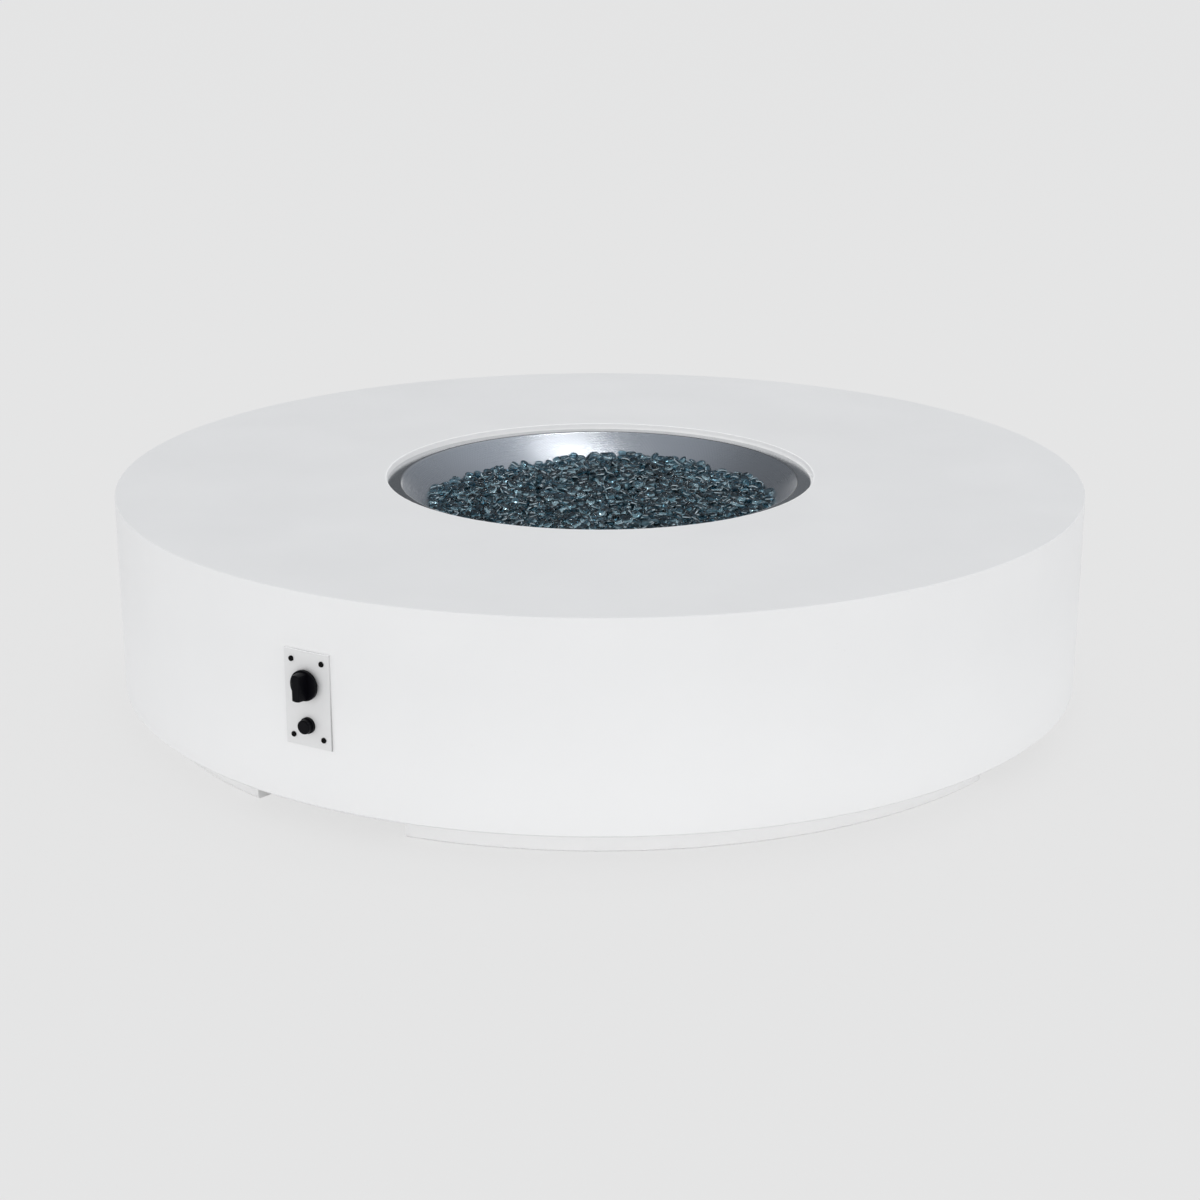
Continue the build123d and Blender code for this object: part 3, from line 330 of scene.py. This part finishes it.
def spun_pattern(place):
    """Spun bowl: fine turning rings, and a dish planished all over inside its flat rim."""
    across = coordinate(place, "X")
    along = coordinate(place, "Y")
    radius = from_middle(place)
    turned = {0: radius * 2600, 1: across * 8, 2: along * 8}
    rings = noise(radius.add("ShaderNodeCombineXYZ", sockets=turned), 1, 3, 0.6)
    inside = 1 - narrowed(radius, MOUTH_RADIUS - 0.003, MOUTH_RADIUS)
    turn = along.math("ARCTAN2", along, across)
    rows = radius.math("SINE", radius * 1050 + noise(place, 40, 1) * 2)
    dents = turn.math("SINE", turn * 320 + noise(place, 25, 1) * 3)
    cloud = noise(place, 9, 3)
    dish = mixed(spread(cloud, 0, 1), (0.53, 0.55, 0.58, 1), (0.58, 0.60, 0.63, 1))
    return {
        "Base Color": mixed(inside, (0.68, 0.69, 0.70, 1), dish),
        "Roughness": spread(rings * 0.5 + cloud * 0.5, 0.12, 0.24) + inside * 0.1,
        "Normal": bump(rows * dents * inside * 0.3 + rings * 0.1, 0.0002),
    }


def burner_pattern(place):
    """Stainless burner, a little heat-tinted and dusty."""
    cloud = noise(place, 25, 4, 0.6)
    skin = bump(noise(place, 400, 2), 0.0001)
    return clouded(cloud, (0.30, 0.27, 0.24, 1), (0.46, 0.44, 0.42, 1), (0.32, 0.5), skin)


def zinc_pattern(place):
    """Zinc plate with a faint spangle."""
    spangle = cells(place, 350)
    cloud = noise(place, 40, 3)
    return {
        "Base Color": mixed(spread(cloud, 0, 1), grey(0.52, 0.02), grey(0.66, 0.02)),
        "Roughness": spread(spangle, 0.3, 0.5),
        "Normal": bump(spangle, 0.00005),
    }


def plate_pattern(place):
    """Satin plate: its grain is upright, its top arris carries a painted highlight, and its cut edges are dark,
    with painted shade that deepens towards their foot.
    """
    grain = noise(stretched(place, (2400, 2400, 60)), 1, 3, 0.6)
    cloud = noise(place, 30, 3)
    up = coordinate(place, "Z")
    width = {0: place, 1: PANEL_SIDE}
    aside = place.add("ShaderNodeVectorMath", {"operation": "DOT_PRODUCT"}, width, "Value")
    aside = aside.math("ABSOLUTE", aside)
    cut = narrowed(aside, PLATE_HALF_WIDTH - 0.0005, PLATE_HALF_WIDTH - 0.0001)
    # Painted highlight along the top arris.
    arris_painted_highlight = narrowed(up, PLATE_TOP - 0.0007, PLATE_TOP - 0.0003)
    face = mixed(spread(cloud, 0, 1), grey(0.735), grey(0.775))
    face = mixed(arris_painted_highlight, face, grey(0.95))
    # Painted shade: the cut edges are dark and darken further towards the bottom.
    edge_painted_shade = mixed(narrowed(up, 0.14, 0.25), grey(0.42), grey(0.66))
    return {
        "Base Color": mixed(cut, face, edge_painted_shade),
        "Roughness": spread(grain, 0.42, 0.58),
        "Normal": bump(grain, 0.00003),
    }


def black_steel_pattern(place):
    """Blackened screws."""
    cloud = noise(place, 300, 2)
    return clouded(cloud, grey(0.003), grey(0.008), (0.3, 0.45), bump(cloud, 0.00004))


def moulded_pattern(place):
    """Black moulded plastic with a fine spark-eroded grain, rubbed smoother in patches."""
    cloud = noise(place, 60, 3)
    grain = bump(noise(place, 2200, 2, 0.6), 0.00006)
    return clouded(cloud, grey(0.0015, 0.001), grey(0.004, 0.002), (0.28, 0.42), grain)


def alloy_pattern(place):
    """Die-cast valve metal."""
    cloud = noise(place, 50, 2)
    skin = bump(noise(place, 700, 3, 0.6), 0.00008)
    return clouded(cloud, grey(0.42, 0.01), grey(0.56, 0.01), (0.38, 0.55), skin)


def brass_pattern(place):
    """Turned brass, with the fine rings that the tool leaves."""
    cloud = noise(place, 70, 3)
    turned = bump(noise(stretched(place, (300, 300, 2600)), 1, 2), 0.00004)
    return clouded(cloud, (0.50, 0.36, 0.16, 1), (0.68, 0.52, 0.26, 1), (0.24, 0.4), turned)


def copper_pattern(place):
    """Drawn copper lead, a little tarnished."""
    cloud = noise(place, 60, 3)
    skin = bump(noise(place, 900, 1), 0.00003)
    return clouded(cloud, (0.42, 0.17, 0.09, 1), (0.66, 0.31, 0.19, 1), (0.28, 0.45), skin)


def ceramic_pattern(place):
    """White fired ceramic."""
    cloud = noise(place, 120, 3)
    skin = bump(noise(place, 1500, 2), 0.00004)
    return clouded(cloud, (0.72, 0.70, 0.66, 1), (0.82, 0.81, 0.78, 1), (0.4, 0.6), skin)


def rubber_pattern(place):
    """Black rubber with a woven imprint."""
    cloud = noise(place, 20, 3)
    weave = bump(cells(place, 520), 0.00025)
    return clouded(cloud, grey(0.016), grey(0.032), (0.55, 0.72), weave)


def wire_pattern(place):
    """Red silicone sleeve of the ignition wire."""
    cloud = noise(place, 30, 2)
    skin = bump(noise(place, 700, 2), 0.00004)
    return clouded(cloud, (0.30, 0.025, 0.02, 1), (0.42, 0.04, 0.03, 1), (0.45, 0.6), skin)


def can_pattern(place):
    """Dark painted can of the battery."""
    cloud = noise(place, 90, 2)
    skin = bump(noise(place, 500, 1), 0.00002)
    return clouded(cloud, (0.03, 0.035, 0.045, 1), (0.05, 0.055, 0.065, 1), (0.25, 0.4), skin)


def glass_pattern(place):
    """Grey-blue glass, each bead with its own depth of colour, its skin fire polished.

    A pale opaque finish in a thin broken line round a bead's girth is a painted highlight, and the darker band
    beside it is painted shade.
    """
    tint = place.add("ShaderNodeAttribute", {"attribute_name": "tint"}, output="Fac")
    girth = place.add("ShaderNodeAttribute", {"attribute_name": "girth"}, output="Fac")
    streak = noise(place, 160, 2)
    deep = mixed(tint, (0.16, 0.30, 0.37, 1), (0.52, 0.70, 0.78, 1))
    body = mixed(spread(streak, 0, 0.3), deep, (0.15, 0.32, 0.40, 1))
    # Painted shade in a band beside the girth, and a painted highlight in a broken line round it.
    painted_rim_shade = narrowed(girth, 0.26, 0.42) * (1 - narrowed(girth, 0.62, 0.82))
    painted_rim_highlight = (1 - narrowed(girth, 0.12, 0.26)) * narrowed(noise(place, 90, 1), 0.48, 0.56)
    return {
        "glints": painted_rim_highlight * 0.66,
        "Base Color": mixed(painted_rim_shade * 0.6, body, (0.05, 0.10, 0.13, 1)),
        "Roughness": spread(streak, 0.0, 0.03),
        "Normal": bump(noise(place, 60, 0), 0.0001),
    }


def glass_bed_pattern(place):
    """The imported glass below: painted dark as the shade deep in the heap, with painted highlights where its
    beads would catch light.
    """
    pebbles = cells(place, 75)
    cloud = noise(place, 45, 3)
    # Painted shade: the bed's colour is near black.
    tone = mixed(spread(cloud, 0, 1), (0.006, 0.012, 0.016, 1), (0.018, 0.032, 0.040, 1))
    # Painted highlight: paler spots at the middle of each pebble.
    painted_glint = 1 - narrowed(pebbles, 0.1, 0.32)
    return {
        "Base Color": mixed(painted_glint * 0.4, tone, (0.09, 0.13, 0.15, 1)),
        "Roughness": spread(cloud, 0.08, 0.2),
        "Normal": bump(pebbles, 0.006),
    }


# One finish for each material slot of the record
METAL = {"Metallic": 1.0}
OXIDE = {"Metallic": 0.6, "Specular IOR Level": 0.2}
GLASS = {"Transmission Weight": 1.0, "IOR": 1.5}
PACKED_GLASS = {"IOR": 1.5, "Coat Weight": 0.5}
finishes = {
    "concrete": material("cast_concrete", {}, concrete_pattern),
    "bowl_steel": material("spun_steel", METAL, spun_pattern),
    "burner_steel": material("burner_steel", METAL, burner_pattern),
    "zinc_steel": material("zinc_plate", METAL, zinc_pattern),
    "plate_metal": material("satin_plate", {"Metallic": 0.15}, plate_pattern),
    "black_screw": material("black_oxide", OXIDE, black_steel_pattern),
    "knob_plastic": material("knob_black", {"Specular IOR Level": 0.08}, moulded_pattern),
    "igniter_plastic": material("igniter_black", {"Specular IOR Level": 0.09}, moulded_pattern),
    "valve_alloy": material("cast_alloy", METAL, alloy_pattern),
    "gas_brass": material("machined_brass", METAL, brass_pattern),
    "white_ceramic": material("fired_ceramic", {}, ceramic_pattern),
    "grommet_rubber": material("grommet_rubber", {}, rubber_pattern),
    "hose_rubber": material("hose_rubber", {}, rubber_pattern),
    "lead_copper": material("drawn_copper", METAL, copper_pattern),
    "wire_rubber": material("red_silicone", {}, wire_pattern),
    "battery_can": material("battery_can", {"Metallic": 0.5}, can_pattern),
    "fire_glass": material("fire_glass", GLASS, glass_pattern),
}
toe_finish = material("toe_concrete", {}, toe_pattern)
glass_bed_finish = material("packed_glass_painted_shade", PACKED_GLASS, glass_bed_pattern)

for part in frame["record"]["subparts"]:
    is_toe = part["node"].startswith("toe_segment")
    mesh = nodes[part["node"]].data
    mesh.materials.clear()
    mesh.materials.append(toe_finish if is_toe else finishes[part["material_slot"]])


def piece(name, vertices, faces, body, finish):
    """A smooth mesh in a finish, which rides on a body."""
    mesh = bpy.data.meshes.new(name)
    mesh.from_pydata(vertices, [], faces)
    mesh.materials.append(finish)
    mesh.shade_smooth()
    made = bpy.data.objects.new(name, mesh)
    bpy.context.scene.collection.objects.link(made)
    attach(made, body)
    return made


def coil_spring(name, node, body, slot):
    """A wound spring in the space of its sleeve.

    The sleeve lies along PANEL_OUT, so the width of its box comes from both its length and
    its breadth. One turn at each end is closed up, wire against wire.
    """
    low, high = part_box(node)
    middle, extent = (low + high) / 2, high - low
    across = extent.z - SPRING_WIRE
    length = (extent.x - extent.z * abs(PANEL_OUT.y)) / abs(PANEL_OUT.x)
    rise = length - SPRING_WIRE
    steps = SPRING_STEPS * SPRING_TURNS
    closed = 1 / SPRING_TURNS
    vertices, faces = [], []
    for i in range(steps + 1):
        along = i / steps
        turn = 2 * math.pi * SPRING_TURNS * along
        climb = min(1.0, max(0.0, (along - closed) / (1 - 2 * closed)))
        close = SPRING_WIRE * (min(along, closed) + max(0.0, along - 1 + closed)) / closed
        height = close + climb * (rise - 2 * SPRING_WIRE) - rise / 2
        spoke = PANEL_SIDE * math.cos(turn) + Vector((0, 0, math.sin(turn)))
        centre = middle + spoke * (across / 2) + PANEL_OUT * height
        for j in range(SPRING_SIDES):
            around = 2 * math.pi * j / SPRING_SIDES
            offset = spoke * math.cos(around) + PANEL_OUT * math.sin(around)
            vertices.append(centre + offset * (SPRING_WIRE / 2))
    for i in range(steps):
        for j in range(SPRING_SIDES):
            k = (j + 1) % SPRING_SIDES
            a, b = i * SPRING_SIDES + j, i * SPRING_SIDES + k
            faces.append((a, b, b + SPRING_SIDES, a + SPRING_SIDES))
    faces.append(tuple(range(SPRING_SIDES))[::-1])
    faces.append(tuple(steps * SPRING_SIDES + j for j in range(SPRING_SIDES)))
    spring = piece(name, vertices, faces, body, finishes[slot])
    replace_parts(spring, node)
    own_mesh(spring)


def dish_height(radius, inset=0.0):
    """Height of the dish, or of a surface inside it by inset."""
    return DISH_CENTRE - math.sqrt((DISH_RADIUS - inset) ** 2 - radius**2)


def glass_level(x, y):
    """Height that the tops of the beads reach: heaped at the back, and uneven."""
    level = GLASS_TOP + GLASS_SLOPE * x
    for rise, right, back, breadth in GLASS_SWELLS:
        level += rise * math.exp(-((x - right) ** 2 + (y - back) ** 2) / breadth)
    for rise, per_right, per_back, start in GLASS_RIPPLES:
        level += rise * math.sin(per_right * x + per_back * y + start)
    return level


def bed_level(x, y):
    """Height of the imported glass, under the loose layer."""
    return glass_level(x, y) - GLASS_LAYER


def settled_beads(rng):
    """Centres of beads dropped one by one, each rolling to a low place nearby."""
    cell = 2 * BEAD_RADIUS
    flatness = BEAD_HALF / BEAD_RADIUS
    grid = {}
    centres = []

    def rest_height(x, y):
        """Height at which a bead rests there, or None where the bowl's wall is too near."""
        radius = math.hypot(x, y)
        if radius > BEAD_REACH:
            return None
        low = max(bed_level(x, y) + BEAD_HALF, dish_height(radius, BEAD_HALF))
        column, row = int(x // cell), int(y // cell)
        for i in (column - 1, column, column + 1):
            for j in (row - 1, row, row + 1):
                for right, back, height in grid.get((i, j), ()):
                    gap = (x - right) ** 2 + (y - back) ** 2
                    if gap < cell * cell:
                        low = max(low, height + flatness * math.sqrt(cell * cell - gap))
        return low

    misses = 0
    while misses < MISSES_WHEN_FULL:
        radius = DROP_RADIUS * math.sqrt(rng.random())
        angle = rng.uniform(0, 2 * math.pi)
        x, y = radius * math.cos(angle), radius * math.sin(angle)
        z = rest_height(x, y)
        step = BEAD_RADIUS
        for _ in range(ROLL_TRIES):
            turn = rng.uniform(0, 2 * math.pi)
            near = (x + step * math.cos(turn), y + step * math.sin(turn))
            height = rest_height(*near)
            if height is not None and height < z:
                x, y, z = near[0], near[1], height
            step *= ROLL_SHRINK
        if z + BEAD_HALF * BEAD_SHOULDER > glass_level(x, y) + rng.uniform(0, BEAD_PROUD):
            misses += 1
            continue
        misses = 0
        centres.append((x, y, z))
        grid.setdefault((int(x // cell), int(y // cell)), []).append((x, y, z))
    return centres


def bead_directions():
    """Points of a round bead of size 1, ring by ring from the top, with its poles last."""
    directions = []
    for i in range(1, BEAD_RINGS):
        fall = math.pi * i / BEAD_RINGS
        reach = math.sin(fall) ** BEAD_SQUARE
        height = math.copysign(abs(math.cos(fall)) ** BEAD_SQUARE, math.cos(fall))
        for j in range(BEAD_SPOKES):
            turn = 2 * math.pi * j / BEAD_SPOKES
            directions.append((reach * math.cos(turn), reach * math.sin(turn), height))
    return directions + [(0, 0, 1), (0, 0, -1)]


def bead_form(rng, directions):
    """Points of one kind of bead: a flattened drop, bent along its length and a bit lumpy."""
    size = Vector((rng.uniform(*BEAD_LONG), rng.uniform(*BEAD_WIDE), rng.uniform(*BEAD_THICK)))
    bend = rng.uniform(-BEAD_BEND, BEAD_BEND)
    lumps = []
    for _ in range(BEAD_LUMPS):
        lump = (rng.uniform(-1, 1), rng.uniform(-1, 1), rng.uniform(-1, 1))
        lumps.append((lump, rng.uniform(0, LUMP_START)))
    points = []
    for x, y, z in directions:
        waves = [math.sin(LUMP_PITCH * (a * x + b * y + c * z) + start) for (a, b, c), start in lumps]
        point = Vector((x * size.x, y * size.y, z * size.z)) * (1 + LUMP_RISE * sum(waves))
        point.z += bend * point.x * point.x
        points.append(point)
    return points


def bead_faces():
    """Faces of one bead, as indices of its points."""
    faces = []
    top = BEAD_SPOKES * (BEAD_RINGS - 1)
    last = BEAD_SPOKES * (BEAD_RINGS - 2)
    for j in range(BEAD_SPOKES):
        k = (j + 1) % BEAD_SPOKES
        faces.append((top, j, k))
        for i in range(BEAD_RINGS - 2):
            high, low = i * BEAD_SPOKES, (i + 1) * BEAD_SPOKES
            faces.append((high + j, low + j, low + k, high + k))
        faces.append((last + j, top + 1, last + k))
    return faces


def write_attribute(made, name, values):
    """One number for each point of a piece, for its finish to read."""
    attribute = made.data.attributes.new(name, "FLOAT", "POINT")
    attribute.data.foreach_set("value", values)


def fire_glass():
    """The loose beads, in a few pieces that each hold one sector of the bowl."""
    rng = random.Random(BEAD_SEED)
    centres = settled_beads(rng)
    centres.sort(key=lambda centre: math.atan2(centre[1], centre[0]))
    directions = bead_directions()
    forms = [bead_form(rng, directions) for _ in range(BEAD_KINDS)]
    heights = [abs(direction[2]) for direction in directions]
    one = bead_faces()
    made = []
    share = math.ceil(len(centres) / GLASS_PIECES)
    for k in range(GLASS_PIECES):
        vertices, faces, tints, girths = [], [], [], []
        for centre in centres[k * share : (k + 1) * share]:
            form = rng.choice(forms)
            lie = (rng.gauss(0, BEAD_TILT), rng.gauss(0, BEAD_TILT), rng.uniform(0, BEAD_TURN))
            turn = Euler(lie, "ZXY").to_matrix()
            base = len(vertices)
            spot = Vector(centre) + BOWL_CENTRE
            vertices += [spot + turn @ point for point in form]
            faces += [[base + i for i in face] for face in one]
            tints += [rng.random()] * len(form)
            girths += heights
        beads = piece(f"glass_beads_{k + 1}", vertices, faces, "root", finishes["fire_glass"])
        write_attribute(beads, "tint", tints)
        write_attribute(beads, "girth", girths)
        made.append(beads)
    return made


def glass_bed():
    """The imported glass: an uneven top, and the dish's curve below it.

    Each of the two sheets is one middle point with rings of points round it.
    """
    sheet = BED_RINGS * BED_SPOKES + 1
    vertices, faces = [], []
    for below in (False, True):
        for i in range(BED_RINGS + 1):
            for j in range(BED_SPOKES if i else 1):
                turn = 2 * math.pi * j / BED_SPOKES
                radius = BED_RADIUS * i / BED_RINGS
                x, y = radius * math.cos(turn), radius * math.sin(turn)
                height = dish_height(radius, BED_CLEARANCE)
                if not below:
                    height = max(height + BED_THINNEST, bed_level(x, y))
                vertices.append(Vector((x, y, height)) + BOWL_CENTRE)
    for j in range(BED_SPOKES):
        k = (j + 1) % BED_SPOKES
        tops = [(0, 1 + j, 1 + k)]
        for i in range(BED_RINGS - 1):
            a, b = 1 + i * BED_SPOKES + j, 1 + i * BED_SPOKES + k
            tops.append((a, a + BED_SPOKES, b + BED_SPOKES, b))
        faces += tops + [tuple(sheet + index for index in reversed(face)) for face in tops]
        a, b = sheet - BED_SPOKES + j, sheet - BED_SPOKES + k
        faces.append((a, a + sheet, b + sheet, b))
    return piece("glass_depth", vertices, faces, "root", glass_bed_finish)


def seen_rays(start):
    """1 for rays that look at the surroundings, 0 for those that light the object."""
    seen = start.add("ShaderNodeLightPath", output="Is Camera Ray")
    rays = seen.socket.node.outputs
    for kind in ("Is Glossy Ray", "Is Transmission Ray"):
        seen = seen.math("MAXIMUM", seen, Wire(seen.tree, rays[kind]))
    return seen


def studio_floor():
    """A wide pale floor. To the camera most of it glows, and the rest takes the shadow."""
    mesh = bpy.data.meshes.new("floor")
    low, high = -FLOOR_HALF, FLOOR_HALF
    corners = [(low, low, 0), (high, low, 0), (high, high, 0), (low, high, 0)]
    mesh.from_pydata(corners, [], [(0, 1, 2, 3)])
    floor = bpy.data.objects.new("floor", mesh)
    bpy.context.scene.collection.objects.link(floor)
    floor.location.z = -FLOOR_DROP
    paper = bpy.data.materials.new("floor_paper")
    paper.use_nodes = True
    paper.node_tree.nodes.clear()
    start = Wire(paper.node_tree)
    matt = start.add("ShaderNodeBsdfDiffuse", sockets={"Color": grey(0.93)})
    glow = start.add("ShaderNodeEmission", sockets={"Color": BACKGROUND})
    share = seen_rays(start) * FLOOR_GLOW
    both = start.add("ShaderNodeMixShader", sockets={0: share, 1: matt, 2: glow})
    start.add("ShaderNodeOutputMaterial", sockets={"Surface": both})
    mesh.materials.append(paper)


def studio_world():
    """Soft light that is strongest from low down, and the room that camera, metal and glass see.

    The room is dim and bluish above a pale horizon, and lighter overhead and to the sides,
    most of all to the right. Rays that pass through glass see the plain background only.
    """
    world = bpy.data.worlds.new("studio")
    bpy.context.scene.world = world
    world.use_nodes = True
    world.node_tree.nodes.clear()
    start = Wire(world.node_tree)
    heading = start.add("ShaderNodeTexCoord", output="Generated")
    rise = coordinate(heading, "Z")
    aside = coordinate(heading, "X")
    overhead = narrowed(rise, 0.6, 1.0) * 0.28
    dim = 0.10 + overhead + aside * 0.18 + aside.math("ABSOLUTE", aside) * 0.34
    room = dim.add("ShaderNodeVectorMath", {"operation": "SCALE"}, {0: ROOM_TINT, "Scale": dim})
    through = start.add("ShaderNodeLightPath", output="Is Transmission Ray")
    backdrop = mixed(narrowed(rise, 0.05, 0.16) * (1 - through), BACKGROUND, room)
    shown = start.add("ShaderNodeBackground", sockets={"Color": backdrop, "Strength": 1.0})
    tone = mixed(narrowed(rise, 0.0, 0.8), (1.31, 1.30, 1.29, 1), (0.74, 0.755, 0.775, 1))
    soft = start.add("ShaderNodeBackground", sockets={"Color": tone, "Strength": 1.0})
    both = start.add("ShaderNodeMixShader", sockets={0: seen_rays(start), 1: soft, 2: shown})
    start.add("ShaderNodeOutputWorld", sockets={"Surface": both})


def lamp(name, place, target, size, watts):
    """An oval lamp that points at a target and isn't seen itself."""
    light = bpy.data.lights.new(name, "AREA")
    light.shape = "ELLIPSE"
    light.size, light.size_y = size
    light.energy = watts
    made = bpy.data.objects.new(name, light)
    bpy.context.scene.collection.objects.link(made)
    made.location = place
    made.visible_camera = False
    made.rotation_euler = (Vector(target) - Vector(place)).to_track_quat("-Z", "Y").to_euler()
    return made


def lamps():
    """A long lamp high up behind, and a wide one in front that metal doesn't mirror."""
    lamp("overhead", place=(1.05, 1.3, 8.3), target=(1.05, 0, DECK_TOP), size=(2.6, 0.6), watts=40)
    front = lamp("front", place=(0, -16.0, 3.2), target=(0, 0, 0.15), size=(7.0, 7.0), watts=268)
    front.visible_glossy = False


def camera():
    """The photograph's view."""
    lens = bpy.data.cameras.new("camera")
    lens.lens = CAMERA_LENS
    lens.sensor_width = CAMERA_SENSOR
    lens.clip_end = CAMERA_CLIP
    eye = bpy.data.objects.new("camera", lens)
    bpy.context.scene.collection.objects.link(eye)
    eye.location = (0, -CAMERA_BACK, CAMERA_HEIGHT)
    eye.rotation_euler = (math.radians(CAMERA_TILT), 0, 0)
    bpy.context.scene.camera = eye


camera()
for made in fire_glass():
    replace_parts(made, "fire_glass_beads")
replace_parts(glass_bed(), "fire_glass_bed")
coil_spring("stem_coil", "stem_spring", "valve_plug", "zinc_steel")
coil_spring("igniter_coil", "igniter_spring", "root", "zinc_steel")
studio_floor()
studio_world()
lamps()
bpy.context.scene.view_settings.view_transform = "Standard"
